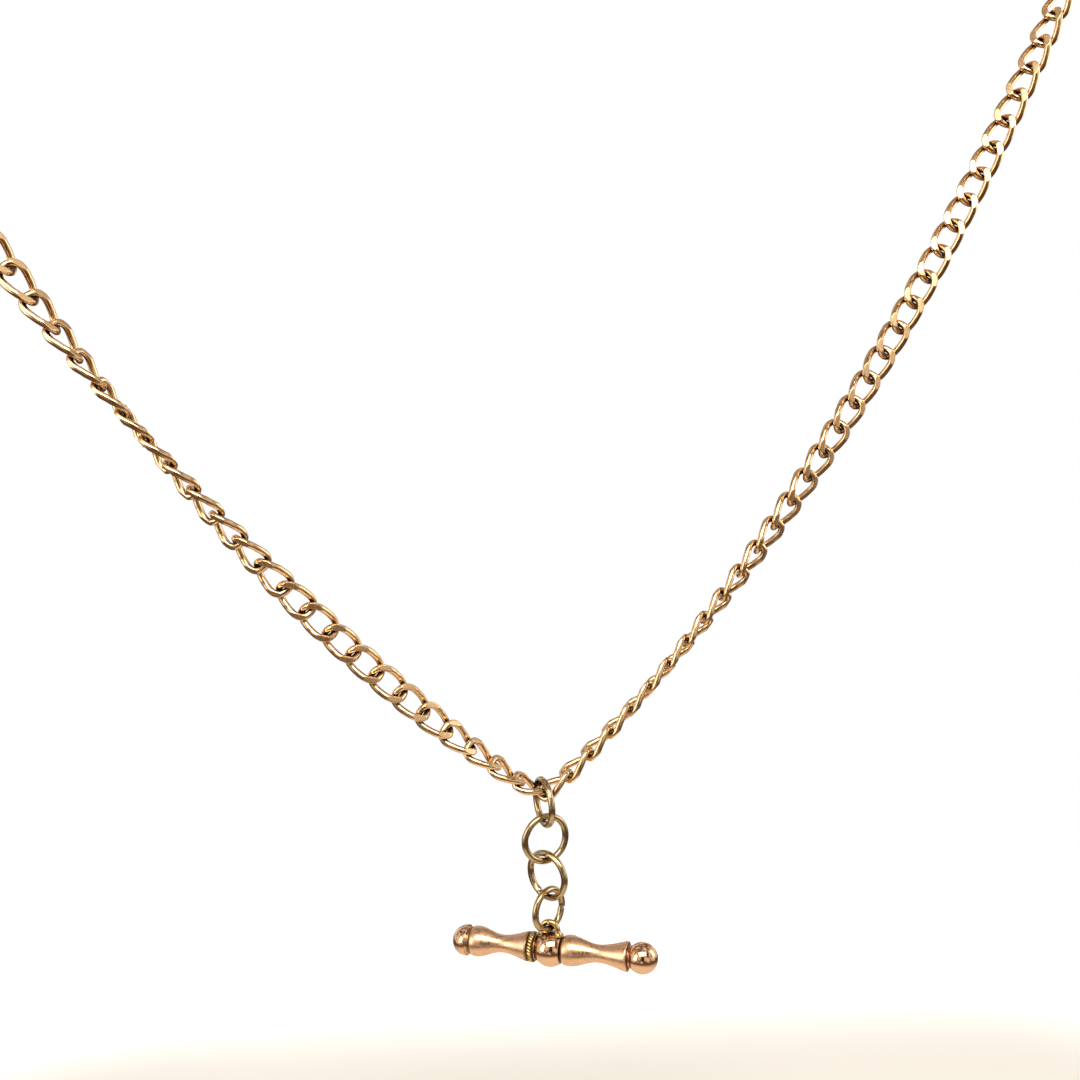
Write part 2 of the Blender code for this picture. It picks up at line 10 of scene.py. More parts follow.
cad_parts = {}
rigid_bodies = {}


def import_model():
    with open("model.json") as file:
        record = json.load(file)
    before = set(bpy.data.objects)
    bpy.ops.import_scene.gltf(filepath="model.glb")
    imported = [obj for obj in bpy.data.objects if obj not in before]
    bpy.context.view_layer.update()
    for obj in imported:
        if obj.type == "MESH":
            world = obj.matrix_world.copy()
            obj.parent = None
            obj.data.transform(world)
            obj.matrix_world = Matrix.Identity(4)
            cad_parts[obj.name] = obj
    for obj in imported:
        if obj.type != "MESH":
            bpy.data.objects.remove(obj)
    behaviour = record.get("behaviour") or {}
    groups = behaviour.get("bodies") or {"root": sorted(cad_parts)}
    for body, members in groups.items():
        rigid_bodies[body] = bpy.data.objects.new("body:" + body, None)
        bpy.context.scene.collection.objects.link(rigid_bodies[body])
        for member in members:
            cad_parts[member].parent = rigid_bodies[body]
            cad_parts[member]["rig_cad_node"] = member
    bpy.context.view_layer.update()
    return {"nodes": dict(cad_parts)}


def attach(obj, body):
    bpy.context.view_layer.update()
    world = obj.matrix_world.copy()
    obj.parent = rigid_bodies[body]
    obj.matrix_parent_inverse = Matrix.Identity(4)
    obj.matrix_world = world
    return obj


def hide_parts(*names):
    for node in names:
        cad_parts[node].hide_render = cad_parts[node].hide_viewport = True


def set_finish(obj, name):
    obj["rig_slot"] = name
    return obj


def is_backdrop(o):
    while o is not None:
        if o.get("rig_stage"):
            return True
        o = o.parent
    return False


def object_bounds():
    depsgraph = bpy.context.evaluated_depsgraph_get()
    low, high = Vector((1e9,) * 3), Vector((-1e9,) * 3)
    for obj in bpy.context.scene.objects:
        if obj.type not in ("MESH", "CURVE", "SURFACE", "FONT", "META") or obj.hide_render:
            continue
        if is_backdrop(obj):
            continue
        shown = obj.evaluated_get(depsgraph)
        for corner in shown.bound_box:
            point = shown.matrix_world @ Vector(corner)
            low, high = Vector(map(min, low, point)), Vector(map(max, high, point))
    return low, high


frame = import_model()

MM = 0.001
DEG = math.pi / 180
GOLDEN = 2.399963  # turn that spreads successive patterns evenly, in radians

# Curb links, as in the CAD model
LINK_PITCH = 4.2 * MM
WIRE = 0.92 * MM
PLAY = 0.08 * MM
LINK_WIDTH = 4.1 * MM
LINK_LIFT = 0.66 * MM
LINK_THICKNESS = 1.74 * MM
LINK_SQUARENESS = 0.88
LINKS_A_SIDE = 33
LOOSE_LINKS = 10
RUN_LENGTHS = (2, 2, 2, 2, 3, 3, 3, 3, 3)
LINK_STEPS = 96
SIDE_POINTS = 7  # round the wire, between its two filed flats
LEAST_FLAT = 8 * DEG  # half the turn that a flat's points take up where nothing is filed off
FLAT_EDGE = 0.04  # turn over which a filed flat meets the round wire, in radians
FILED_BLEND = 0.02 * MM  # height over which the mark of the file fades out
CATENARY = 115.75 * MM
FOOT_SLOPE = 0.787
FOOT_SLACK = 0.34 * MM
FOOT_SPREAD = 0.52 * MM
FOOT_PASS = 0.26 * MM
# (link, turn of its flat face about the chain, in degrees)
LEFT_TURN = (
    (1, 81), (3, 63), (5, 33), (7, 9), (10, -5), (13, -45), (17, -79), (19, -95), (23, -139), (33, -185),
)
RIGHT_TURN = (
    (1, 93), (5, 111), (9, 129), (13, 155), (16, 172), (20, 191), (25, 212), (28, 223), (33, 250),
)

# The drop
RING_WIRE = 0.92 * MM
RINGS = ((7.15 * MM, -84), (7.3 * MM, 13), (7.3 * MM, -57), (6.55 * MM, 34))  # width, and turn in degrees
RING_1_SEAT = 2.0 * MM
RING_STEPS = 132
RING_SIDES = 32
RING_FAULT = 0.035 * MM  # how far out of round a ring is, away from where it bears
RING_4_SPLIT = 0.14 * MM
RING_4_SPLIT_AT = -12
RING_4_STEP = 0.13 * MM  # how far its lower end is bent in
RING_4_BEND = 0.4  # turn over which that end bends, in radians
SEAMS = (100, 160, 241, None)  # turn of each ring's soldered seam, in degrees
SEAM_STEP = 0.055 * MM  # how far the wire's ends are out of line at the plainest seam
SEAM_SHARES = (0.3, 0.45, 1.0)  # how plain each ring's seam is
SEAM_REACH = 0.3  # turn over which the ends are out of line, in radians
SOLDER_REACH = 0.16  # turn over which the solder thickens the wire, in radians
SOLDER_LINE = 0.03  # turn that the line in the solder takes up, in radians
SOLDER = 0.05  # thickness of the solder, as a share of the wire's radius

# The T-bar
BAR_TURN = -32 * DEG
BALL_RADIUS = 2.5 * MM
BALL_RIGHT = 1.62 * MM
BALL_LEFT = 1.95 * MM
SHOULDER_RADIUS = 1.85 * MM
ARM_LENGTH = 9.38 * MM
ARM_START_LEFT = -11.88 * MM
ARM_START_RIGHT = 1.92 * MM
ARM_PROFILE = (
    (0.0, 1.82), (0.025, 2.0), (0.07, 2.11), (0.14, 2.12), (0.22, 1.98), (0.32, 1.69), (0.42, 1.4),
    (0.53, 1.24), (0.64, 1.3), (0.76, 1.53), (0.88, 1.84), (0.95, 2.02), (0.985, 2.07), (1.0, 2.0),
)
END_BALL_RADIUS = 2.18 * MM
LEFT_BALL = -12.5 * MM
RIGHT_BALL = 13.27 * MM
NECK_RADIUS = 1.5 * MM
GROOVE_RADIUS = 1.9 * MM
SEAM = 0.02 * MM
COLLAR_RADIUS = 2.16 * MM
COLLAR_WIDTH = 0.95 * MM
COLLAR_DEPTH = 0.64 * MM
SPIGOT_END = -2.15 * MM
STRAND_RADIUS = 0.21 * MM
STRAND_TWISTS = 13  # of the rope's two strands about each other, round the collar
EYE_WIRE = 0.8 * MM
EYE_RADIUS = 1.12 * MM
EYE_HEIGHT = 2.86 * MM
EYE_FOOT = ((0.4, 0.62), (0.44, 0.42), (0.52, 0.24), (0.66, 0.08), (0.86, -0.1), (0.78, -0.34), (0.0, -0.34))
EYE_VOXEL = 0.045 * MM
BAR_SIDES = 96
BALL_STEPS = 48
EDGE = 0.07 * MM  # rounding of the turned edges
SMALL_EDGE = 0.05 * MM

# The clips
EYE_OUTER = 5.2 * MM
SWIVEL_WIRE = 1.0 * MM
SWIVEL_TURN = {-1: 50, 1: -10}
BARREL_BOTTOM = 4.7 * MM
BARREL_TOP = 7.9 * MM
BARREL_RADIUS = 1.8 * MM
BARREL_WALL = 0.9 * MM  # above and below the swivel's head
HEAD_RADIUS = 1.1 * MM
SHANK_RADIUS = 0.65 * MM
HOOK_HALF_WIDTH = 3.2 * MM
HOOK_HALF_HEIGHT = 5.2 * MM
HOOK_BAR = 1.9 * MM
HOOK_THICKNESS = 2.6 * MM
HOOK_EDGE = 0.42 * MM
NOSE_AT = (28, 56)  # turn of the hook's end at its outer and inner edge, in degrees
ROOT_AT = -50
KNUCKLE_RADIUS = 1.2 * MM
TONGUE_THICKNESS = 1.0 * MM
GATE_THICKNESS = 2.1 * MM
PIN_RADIUS = 0.42 * MM
GATE_EDGE = 0.36 * MM
RUNNING_FIT = 0.08 * MM

# Finish
# How far from another piece the dirt and painted shade reach.
SOIL_AND_SHADE_REACH = 0.7 * MM
BUMP = 0.0016 * MM
DRAWN = (0.55, 8.0, 8.0)
LATHE = (8.0, 0.8, 0.8)
CAST = (2.0, 2.0, 2.0)
# Dark colours painted into the crevices near other pieces: dirt and painted shade together.
SOOT_AND_SHADE = (0.03, 0.012, 0.003)
TARNISH_AND_SHADE = (0.2, 0.1, 0.03)

# Stage
FLOOR_GAP = 51 * MM  # under the T-bar
FLOOR_SIZE = (0.44, 0.32)
FLOOR_BACK = 0.11  # how far behind the chain the floor reaches
CREAM = (0.045, 0.115)  # where the floor turns from cream to white, along the camera's way
NEAR = (0.10, 0.19)  # where it turns white on every side of the T-bar
# Glossy rays see the floor painted dark beyond this stretch from the T-bar: painted shade in the metal's
# reflections.
DARK_IN_REFLECTIONS = (0.05, 0.13)  # where the metal's picture of it turns dark
ROOM_LIGHT = 1.5
CAMERA_AT = Vector((-38.72, -157.27, -70.04)) * MM
CAMERA_YAW = 0.2482
CAMERA_PITCH = -0.1308
CAMERA_ROLL = -0.0451
CAMERA_LENS = 40.244


# ---------------------------------------------------------------- meshes


def grid_faces(rows, columns, closed):
    """Quads between rings of points, where each ring is closed and the rings may close up too."""
    row = np.arange(rows if closed else rows - 1)[:, None]
    column = np.arange(columns)[None, :]
    after = (row + 1) % rows
    beside = (column + 1) % columns
    this, other = row * columns, after * columns
    corners = [this + column, other + column, other + beside, this + beside]
    return np.stack([np.broadcast_to(c, (len(row), columns)) for c in corners], axis=-1).reshape(-1, 4)


def solid_mesh(name, points, faces, marks=None):
    """A mesh with its faces pointing out and these per-vertex values on it."""
    mesh = bpy.data.meshes.new(name)
    mesh.from_pydata(points.tolist(), [], faces)
    for mark, values in (marks or {}).items():
        values = np.asarray(values, np.float32)
        vector = values.ndim == 2
        made = mesh.attributes.new(mark, "FLOAT_VECTOR" if vector else "FLOAT", "POINT")
        made.data.foreach_set("vector" if vector else "value", values.ravel())
    work = bmesh.new()
    work.from_mesh(mesh)
    bmesh.ops.recalc_face_normals(work, faces=work.faces)
    work.to_mesh(mesh)
    work.free()
    mesh.shade_smooth()
    return mesh


def tube(path, radius, sides, closed, up=(0, 0, 1)):
    """The points, faces and wire marks of a round wire along a path.

    radius is one number or one for each point. sides is a number, or the turns about the wire of the
    points to make, for each point of the path.
    """
    path = np.asarray(path, float)
    radius = np.broadcast_to(np.asarray(radius, float), (len(path),))
    if closed:
        tangent = np.roll(path, -1, axis=0) - np.roll(path, 1, axis=0)
        step = np.linalg.norm(np.roll(path, -1, axis=0) - path, axis=1)
    else:
        tangent = np.gradient(path, axis=0)
        step = np.append(np.linalg.norm(np.diff(path, axis=0), axis=1), 0.0)
    tangent /= np.linalg.norm(tangent, axis=1)[:, None]
    up = np.broadcast_to(np.asarray(up, float), path.shape)
    lift = up - tangent * (tangent * up).sum(axis=1)[:, None]
    lift /= np.linalg.norm(lift, axis=1)[:, None]
    across = np.cross(tangent, lift)
    turn = 2 * math.pi * np.arange(sides)[None, :] / sides if np.isscalar(sides) else sides
    sides = turn.shape[1]
    around = np.cos(turn)[..., None] * lift[:, None, :] + np.sin(turn)[..., None] * across[:, None, :]
    points = path[:, None, :] + radius[:, None, None] * around
    length = (np.cumsum(step) - step) / MM
    wire = np.empty((len(path), sides, 3))
    wire[..., 0] = length[:, None]
    wire[..., 1] = np.cos(turn) * radius[:, None] / MM
    wire[..., 2] = np.sin(turn) * radius[:, None] / MM
    faces = grid_faces(len(path), sides, closed).tolist()
    if not closed:
        last = (len(path) - 1) * sides
        faces.append(list(range(sides)))
        faces.append(list(range(last, last + sides)))
    return points.reshape(-1, 3), faces, wire.reshape(-1, 3)


def even_path(points, steps):
    """A closed line through many points, as this many points at even distances."""
    points = np.vstack([points, points[:1]])
    along = np.concatenate([[0.0], np.cumsum(np.linalg.norm(np.diff(points, axis=0), axis=1))])
    at = along[-1] * np.arange(steps) / steps
    return np.stack([np.interp(at, along, points[:, axis]) for axis in range(3)], axis=1)


def spline_through(points, steps=6):
    """A Catmull-Rom curve through these points."""
    points = np.asarray(points, float)
    padded = np.vstack([2 * points[0] - points[1], points, 2 * points[-1] - points[-2]])
    made = []
    for a, b, c, d in zip(padded, padded[1:], padded[2:], padded[3:]):
        for t in np.arange(steps) / steps:
            square = (2 * a - 5 * b + 4 * c - d) * t ** 2
            cube = (3 * b - a - 3 * c + d) * t ** 3
            made.append(0.5 * (2 * b + (c - a) * t + square + cube))
    return made + [points[-1]]


def eased(profile, radius=EDGE, sharp=25 * DEG):
    """A profile with its sharp corners rounded."""
    profile = [np.asarray(p, float) for p in profile]
    made = [profile[0]]
    for before, corner, after in zip(profile, profile[1:], profile[2:]):
        into, out = corner - before, after - corner
        long_in, long_out = np.linalg.norm(into), np.linalg.norm(out)
        bend = math.acos(max(-1.0, min(1.0, float(into @ out) / (long_in * long_out))))
        if bend < sharp:
            made.append(corner)
            continue
        reach = min(radius, long_in * 0.45, long_out * 0.45)
        start, end = corner - into / long_in * reach, corner + out / long_out * reach
        for t in (0.0, 0.25, 0.5, 0.75, 1.0):
            made.append((1 - t) ** 2 * start + 2 * t * (1 - t) * corner + t ** 2 * end)
    return made + [profile[-1]]


def turned(name, profile, sides=BAR_SIDES):
    """The solid that (radius, height) points, from axis to axis, sweep about Z."""
    profile = np.asarray(profile, float)
    turn = 2 * math.pi * np.arange(sides) / sides
    inner = profile[1:-1]
    out, height = inner[:, :1], inner[:, 1:]
    rings = np.stack([out * np.cos(turn), out * np.sin(turn), np.repeat(height, sides, axis=1)], axis=-1)
    points = rings.reshape(-1, 3)
    first, last = len(points), len(points) + 1
    points = np.vstack([points, [[0, 0, profile[0, 1]]], [[0, 0, profile[-1, 1]]]])
    faces = grid_faces(len(inner), sides, False).tolist()
    end = (len(inner) - 1) * sides
    for n in range(sides):
        faces.append([first, n, (n + 1) % sides])
        faces.append([last, end + n, end + (n + 1) % sides])
    wire = np.stack([points[:, 2], points[:, 0], points[:, 1]], axis=1) / MM
    return solid_mesh(name, points, faces, {"wire": wire})


def arc(radius, middle, first, last, steps):
    """Points of a ball's profile, by the turn from its upper pole in degrees."""
    turns = np.radians(np.linspace(first, last, steps + 1))
    return [(radius * math.sin(t), middle + radius * math.cos(t)) for t in turns]


# ---------------------------------------------------------------- the hanging line, as in the CAD model


def line_point(length):
    """(distance from the middle, height over the foot) after this length of one side."""
    start = FOOT_SLOPE * CATENARY
    run = CATENARY * (math.asinh((start + length) / CATENARY) - math.asinh(FOOT_SLOPE))
    rise = math.hypot(CATENARY, start + length) - math.hypot(CATENARY, start)
    return run, rise


def foot_lean():
    run, _ = line_point(LINK_PITCH + FOOT_SLACK)
    return math.acos((run + FOOT_SPREAD) / (LINK_PITCH + (WIRE + PLAY) / 2))


def bearing(number, side):
    """Where a link bears on the next one up, before the whole line is brought to the origin."""
    if number == 0:
        upwards = Vector((side * math.cos(foot_lean()), 0.0, math.sin(foot_lean())))
        low = bearing(1, side) - upwards * LINK_PITCH
        return low - Vector((0.0, side * FOOT_PASS, 0.0))
    run, rise = line_point(number * LINK_PITCH + FOOT_SLACK)
    return Vector((side * run, 0.0, rise))


def clip_direction(side):
    return (bearing(LINKS_A_SIDE, side) - bearing(LINKS_A_SIDE - 1, side)).normalized()


def hook_centre():
    return BARREL_TOP - 0.8 * MM + HOOK_BAR + HOOK_HALF_HEIGHT


def foot():
    seat = bearing(LINKS_A_SIDE, 1) + clip_direction(1) * (hook_centre() + HOOK_HALF_HEIGHT)
    return Vector((0.0, 0.0, -seat.z))


def between(stations, at):
    for (low, start), (high, end) in zip(stations, stations[1:]):
        if at <= high:
            return start + (end - start) * (at - low) / (high - low)
    return stations[-1][1]


def link_place(number, side):
    """A link's frame: X along the chain and Z out of its flat face."""
    low = bearing(number - 1, side)
    high = bearing(number, side)
    along = (high - low).normalized() * side
    turn = between(LEFT_TURN if side < 0 else RIGHT_TURN, number) * DEG
    front = Vector((0, -1, 0))
    face = front * math.cos(turn) + front.cross(along) * math.sin(turn)
    place = Matrix((along, face.cross(along), face)).transposed().to_4x4()
    place.translation = (low + high) / 2 + foot()
    return place


def clip_place(side):
    """A clip's frame: Z along the clip, away from the chain, Y to the back and X away from the middle."""
    up = clip_direction(side)
    back = Vector((0, 1, 0))
    place = Matrix((back.cross(up), back, up)).transposed().to_4x4()
    place.translation = bearing(LINKS_A_SIDE, side) + foot()
    return place


def upright(turn):
    """Stands a flat ring up, then turns its plane about Z."""
    return Matrix.Rotation(turn, 4, "Z") @ Matrix.Rotation(90 * DEG, 4, "X")


def ring_centres():
    """The centre of each ring, from the top one down."""
    low = bearing(0, 1)
    top = foot() + Vector((0.0, 0.0, low.z - math.sin(foot_lean()) * (WIRE + PLAY) / 2 + RING_1_SEAT))
    centres = []
    for outer, _ in RINGS:
        radius = (outer - RING_WIRE) / 2
        centres.append(top - Vector((0, 0, radius)))
        top = top - Vector((0, 0, 2 * radius - RING_WIRE - PLAY))
    return centres


def bar_centre():
    lowest_wire = ring_centres()[-1] - Vector((0, 0, (RINGS[-1][0] - RING_WIRE) / 2))
    eye_top = lowest_wire + Vector((0, 0, (RING_WIRE + EYE_WIRE) / 2 + PLAY))
    return eye_top - Vector((0, 0, EYE_RADIUS + EYE_HEIGHT))


def bar_turn():
    return Matrix.Translation(bar_centre()) @ Matrix.Rotation(BAR_TURN, 4, "Z")


# ---------------------------------------------------------------- pieces


def side_name(side):
    return "left" if side < 0 else "right"


PIECES = []


def piece(name, mesh, body, slot, place=None, stands_for=()):
    """A shown piece that rides on this body, in the record's slot, for these CAD nodes."""
    if place is not None:
        mesh.transform(place)
    made = bpy.data.objects.new(name, mesh)
    bpy.context.scene.collection.objects.link(made)
    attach(made, body)
    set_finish(made, slot)
    if stands_for:
        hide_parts(*stands_for)
    PIECES.append(made)
    return made


def filed_turns(path):
    """The turns of a link's points about its wire, with some of them along the edges of the filed flats."""
    tangent = np.roll(path, -1, axis=0) - np.roll(path, 1, axis=0)
    tangent /= np.linalg.norm(tangent, axis=1)[:, None]
    lift = np.sqrt(1 - tangent[:, 2] ** 2) * WIRE / 2
    half = []
    for height in (path[:, 2], -path[:, 2]):
        flat = np.arccos(np.clip((LINK_THICKNESS / 2 - height) / lift, -1, 1))
        flat = np.maximum(flat, LEAST_FLAT)
        half.append([0 * flat, 0.5 * flat, 0.95 * flat, flat + FLAT_EDGE])
    top, bottom = half[0], [math.pi - turn for turn in half[1][::-1]]
    shares = np.arange(1, SIDE_POINTS + 1) / (SIDE_POINTS + 1)
    turns = top + [top[-1] + share * (bottom[0] - top[-1]) for share in shares] + bottom
    return np.stack(turns + [-turn for turn in turns[-2:0:-1]], axis=1)


def link_mesh(name):
    """A curb link: an oval of round wire with its corners lifted in turn, then filed flat both sides."""
    turn = np.linspace(0, 2 * math.pi, 4000, endpoint=False)
    fuller = LINK_SQUARENESS
    x = np.sign(np.cos(turn)) * np.abs(np.cos(turn)) ** fuller * (LINK_PITCH + WIRE + PLAY) / 2
    y = np.sign(np.sin(turn)) * np.abs(np.sin(turn)) ** fuller * (LINK_WIDTH - WIRE) / 2
    z = -LINK_LIFT * np.sin(2 * turn)
    path = even_path(np.stack([x, y, z], axis=1), LINK_STEPS)
    points, faces, wire = tube(path, WIRE / 2, filed_turns(path), True)
    high = LINK_THICKNESS / 2
    filed = np.clip((np.abs(points[:, 2]) - high) / FILED_BLEND + 0.5, 0, 1)
    points[:, 2] = np.clip(points[:, 2], -high, high)
    return solid_mesh(name, points, faces, {"wire": wire, "filed": filed})


def rows():
    """Each row of the chain, lowest first: its body, its CAD nodes' ending, its first and its last link."""
    found = []
    for number in range(1, LOOSE_LINKS + 1):
        found.append((f"links_{number:02d}", f"link_{number:02d}", number, number))
    first = LOOSE_LINKS + 1
    for length in RUN_LENGTHS:
        name = f"links_{first}_to_{first + length - 1}"
        found.append((name, name, first, first + length - 1))
        first += length
    return found


def chain():
    for body, ending, first, last in rows():
        for side in (-1, 1):
            for number in range(first, last + 1):
                name = f"{side_name(side)}_curb_link_{number:02d}"
                nodes = [f"{side_name(side)}_{ending}"] if number == first else []
                piece(name, link_mesh(name), body, "chain_gold", link_place(number, side), nodes)


def ring_path(number, outer):
    """A ring's line, the wire's radius along it, and whether it is closed.

    The last ring is open, the others have a soldered seam.
    """
    split = number == len(RINGS)
    radius = (outer - RING_WIRE) / 2
    if split:
        half_gap = RING_4_SPLIT / (2 * radius)
        turn = RING_4_SPLIT_AT * DEG + np.linspace(half_gap, 2 * math.pi - half_gap, RING_STEPS + 1)
    else:
        seam = SEAMS[number - 1] * DEG
        turn = seam + 2 * math.pi * np.arange(RING_STEPS) / RING_STEPS
    fault = RING_FAULT * np.cos(turn) ** 2 * np.sin(3 * turn + number * GOLDEN)
    out = radius + fault
    thick = np.full(len(turn), RING_WIRE / 2)
    if split:
        end = np.minimum(np.arange(len(turn)), np.arange(len(turn))[::-1])
        thick *= np.where(end == 0, 0.9, 1.0)
        out = out - RING_4_STEP * np.exp(-((turn[-1] - turn) / RING_4_BEND) ** 2)
    else:
        away = (turn - seam + math.pi) % (2 * math.pi) - math.pi
        share = SEAM_SHARES[number - 1]
        side = np.sign(away + 1e-9)  # the seam's own point counts as past it
        out = out + share * SEAM_STEP * side * np.exp(-(away / SEAM_REACH) ** 2)
        solder, line = np.exp(-(away / SOLDER_REACH) ** 2), np.exp(-(away / SOLDER_LINE) ** 2)
        thick *= 1 + SOLDER * share * solder - SOLDER * share * line
    return np.stack([out * np.cos(turn), out * np.sin(turn), 0 * turn], axis=1), thick, not split


def drop_rings():
    for number, (centre, (outer, turn)) in enumerate(zip(ring_centres(), RINGS), 1):
        path, thick, closed = ring_path(number, outer)
        points, faces, wire = tube(path, thick, RING_SIDES, closed)
        name = f"jump_ring_{number}"
        mesh = solid_mesh(name, points, faces, {"wire": wire})
        mesh.set_sharp_from_angle(angle=50 * DEG)
        place = Matrix.Translation(centre) @ upright(turn * DEG)
        piece(name, mesh, f"ring_{number}", "ring_gold", place, [f"drop_ring_{number}"])


def arm(name, start, lip, spigot_end):
    """A baluster arm from its bulb to its lip, with the left one's spigot."""
    curve = spline_through([(radius * MM, start + share * (lip - start)) for share, radius in ARM_PROFILE])
    profile = [(0.0, start), (1.45 * MM, start)] + [tuple(p) for p in curve]
    if spigot_end is None:
        profile += [(1.5 * MM, lip)]
    else:
        profile += [(NECK_RADIUS, lip), (NECK_RADIUS, spigot_end)]
    return turned(name, eased(profile + [(0.0, profile[-1][1])]))


def centre_ball(name):
    right = math.degrees(math.acos(BALL_RIGHT / BALL_RADIUS))
    left = math.degrees(math.acos(-BALL_LEFT / BALL_RADIUS))
    end = SPIGOT_END + SEAM
    profile = [(0.0, BALL_RIGHT)] + arc(BALL_RADIUS, 0.0, right, left, BALL_STEPS)
    profile += [(SHOULDER_RADIUS, -BALL_LEFT), (SHOULDER_RADIUS, end), (0.0, end)]
    return turned(name, eased(profile, SMALL_EDGE))


def left_ball(name):
    low = ARM_START_LEFT - SEAM
    back = LEFT_BALL + 0.1 * MM
    edge = math.degrees(math.acos((back - LEFT_BALL) / END_BALL_RADIUS))
    profile = [(0.0, low), (GROOVE_RADIUS, low), (GROOVE_RADIUS, back)]
    return turned(name, eased(profile + arc(END_BALL_RADIUS, LEFT_BALL, edge, 180, BALL_STEPS)))


def right_ball(name):
    low = ARM_START_RIGHT + ARM_LENGTH + SEAM
    last = 180 - math.degrees(math.asin(NECK_RADIUS / END_BALL_RADIUS))
    profile = arc(END_BALL_RADIUS, RIGHT_BALL, 0, last, 56) + [(NECK_RADIUS, low), (0.0, low)]
    return turned(name, eased(profile, SMALL_EDGE))


def joined(name, meshes):
    """One mesh of several, with their marks."""
    work = bmesh.new()
    for mesh in meshes:
        work.from_mesh(mesh)
    made = bpy.data.meshes.new(name)
    work.to_mesh(made)
    work.free()
    made.shade_smooth()
    return made


def rope_collar(name):
    """Two wires twisted about each other, round the arm's spigot."""
    middle = SPIGOT_END - SEAM - COLLAR_WIDTH / 2
    strands = []
    for strand in range(2):
        turn = 2 * math.pi * np.arange(STRAND_TWISTS * 20) / (STRAND_TWISTS * 20)
        twist = STRAND_TWISTS * turn + strand * math.pi
        out = COLLAR_RADIUS - COLLAR_DEPTH / 2 + (COLLAR_DEPTH / 2 - STRAND_RADIUS) * np.cos(twist)
        along = middle + (COLLAR_WIDTH / 2 - STRAND_RADIUS) * np.sin(twist)
        path = np.stack([out * np.cos(turn), out * np.sin(turn), along], axis=1)
        points, faces, wire = tube(path, STRAND_RADIUS, 14, True)
        strands.append(solid_mesh(name, points, faces, {"wire": wire}))
    return joined(name, strands)


def evaluated(source):
    """The object with its modifiers applied, as a plain mesh. The object is removed."""
    graph = bpy.context.evaluated_depsgraph_get()
    mesh = bpy.data.meshes.new_from_object(source.evaluated_get(graph))
    bpy.data.objects.remove(source, do_unlink=True)
    return mesh


def loose_object(mesh):
    made = bpy.data.objects.new("loose", mesh)
    bpy.context.scene.collection.objects.link(made)
    return made


def combine(mesh, others, operation):
    """This mesh joined with or cut by the others, one after another."""
    target = loose_object(mesh)
    tools = [loose_object(other) for other in others]
    for tool in tools:
        step = target.modifiers.new("step", "BOOLEAN")
        step.operation = operation
        step.solver = "EXACT"
        step.object = tool
    made = evaluated(target)
    for tool in tools:
        bpy.data.objects.remove(tool, do_unlink=True)
    return made


def melted(mesh, voxel, rounds):
    """The mesh as one skin with its inner corners filled, as solder fills them."""
    target = loose_object(mesh)
    remesh = target.modifiers.new("remesh", "REMESH")
    remesh.mode = "VOXEL"
    remesh.voxel_size = voxel
    soften = target.modifiers.new("soften", "SMOOTH")
    soften.factor = 0.5
    soften.iterations = rounds
    return evaluated(target)


def plain_wire(mesh):
    """Marks for a mesh that no tube or turning made: its own places in mm."""
    points = np.array([v.co[:] for v in mesh.vertices]) / MM
    if "wire" in mesh.attributes:
        mesh.attributes.remove(mesh.attributes["wire"])
    made = mesh.attributes.new("wire", "FLOAT_VECTOR", "POINT")
    made.data.foreach_set("vector", points.astype(np.float32).ravel())
    return mesh


def circle(radius, steps):
    turn = 2 * math.pi * np.arange(steps) / steps
    return np.stack([radius * np.cos(turn), radius * np.sin(turn), 0 * turn], axis=1)


def bar_eye(name):
    """The eye: an arch of wire whose feet are soldered to the ball."""
    ring = solid_mesh(name, *tube(circle(EYE_RADIUS, 72), EYE_WIRE / 2, 24, True)[:2])
    ring.transform(Matrix.Translation((0, 0, EYE_HEIGHT)) @ upright(0.0))
    parts = [ring]
    seat = math.sqrt((BALL_RADIUS + 0.02 * MM) ** 2 - EYE_RADIUS ** 2)
    for side in (-1, 1):
        profile = [(0.0, EYE_HEIGHT)] + [(out * MM, seat + up * MM) for out, up in EYE_FOOT]
        foot_piece = turned(name, profile, 32)
        foot_piece.transform(Matrix.Translation((side * EYE_RADIUS, 0, 0)))
        parts.append(foot_piece)
    made = melted(combine(parts[0], parts[1:], "UNION"), EYE_VOXEL, 5)
    made.shade_smooth()
    return plain_wire(made)


def t_bar():
    place = bar_turn() @ Matrix.Rotation(90 * DEG, 4, "Y")
    left_sizes = (ARM_START_LEFT, SPIGOT_END - COLLAR_WIDTH - 2 * SEAM, SPIGOT_END)
    right_sizes = (ARM_START_RIGHT, ARM_START_RIGHT + ARM_LENGTH, None)
    pieces = (
        ("left_end_ball", left_ball, (), "bar_left_ball", "bar_gold"),
        ("left_baluster_arm", arm, left_sizes, "bar_left_arm", "bar_gold"),
        ("rope_collar", rope_collar, (), "bar_rope_collar", "collar_gold"),
        ("centre_ball", centre_ball, (), "bar_centre_ball", "bar_gold"),
        ("right_baluster_arm", arm, right_sizes, "bar_right_arm", "bar_gold"),
        ("right_end_ball", right_ball, (), "bar_right_ball", "bar_gold"),
    )
    for name, build, sizes, node, slot in pieces:
        piece(name, build(name, *sizes), "t_bar", slot, place, [node])
    piece("wire_eye", bar_eye("wire_eye"), "t_bar", "collar_gold", bar_turn(), ["bar_eye"])


# ---------------------------------------------------------------- clips


def oval(turn, inset=0.0):
    x = (HOOK_HALF_WIDTH - inset) * math.cos(turn * DEG)
    z = (HOOK_HALF_HEIGHT - inset) * math.sin(turn * DEG)
    return x, hook_centre() + z


def band(first, last, inner, outer, side, steps):
    """The outline of a stretch of the hook's oval; each end has its turns at the outer and the inner edge."""
    points = [oval(turn, -outer) for turn in np.linspace(first[0], last[0], steps + 1)]
    points += [oval(turn, -inner) for turn in np.linspace(last[1], first[1], steps + 1)]
    return [(side * x, z) for x, z in points]


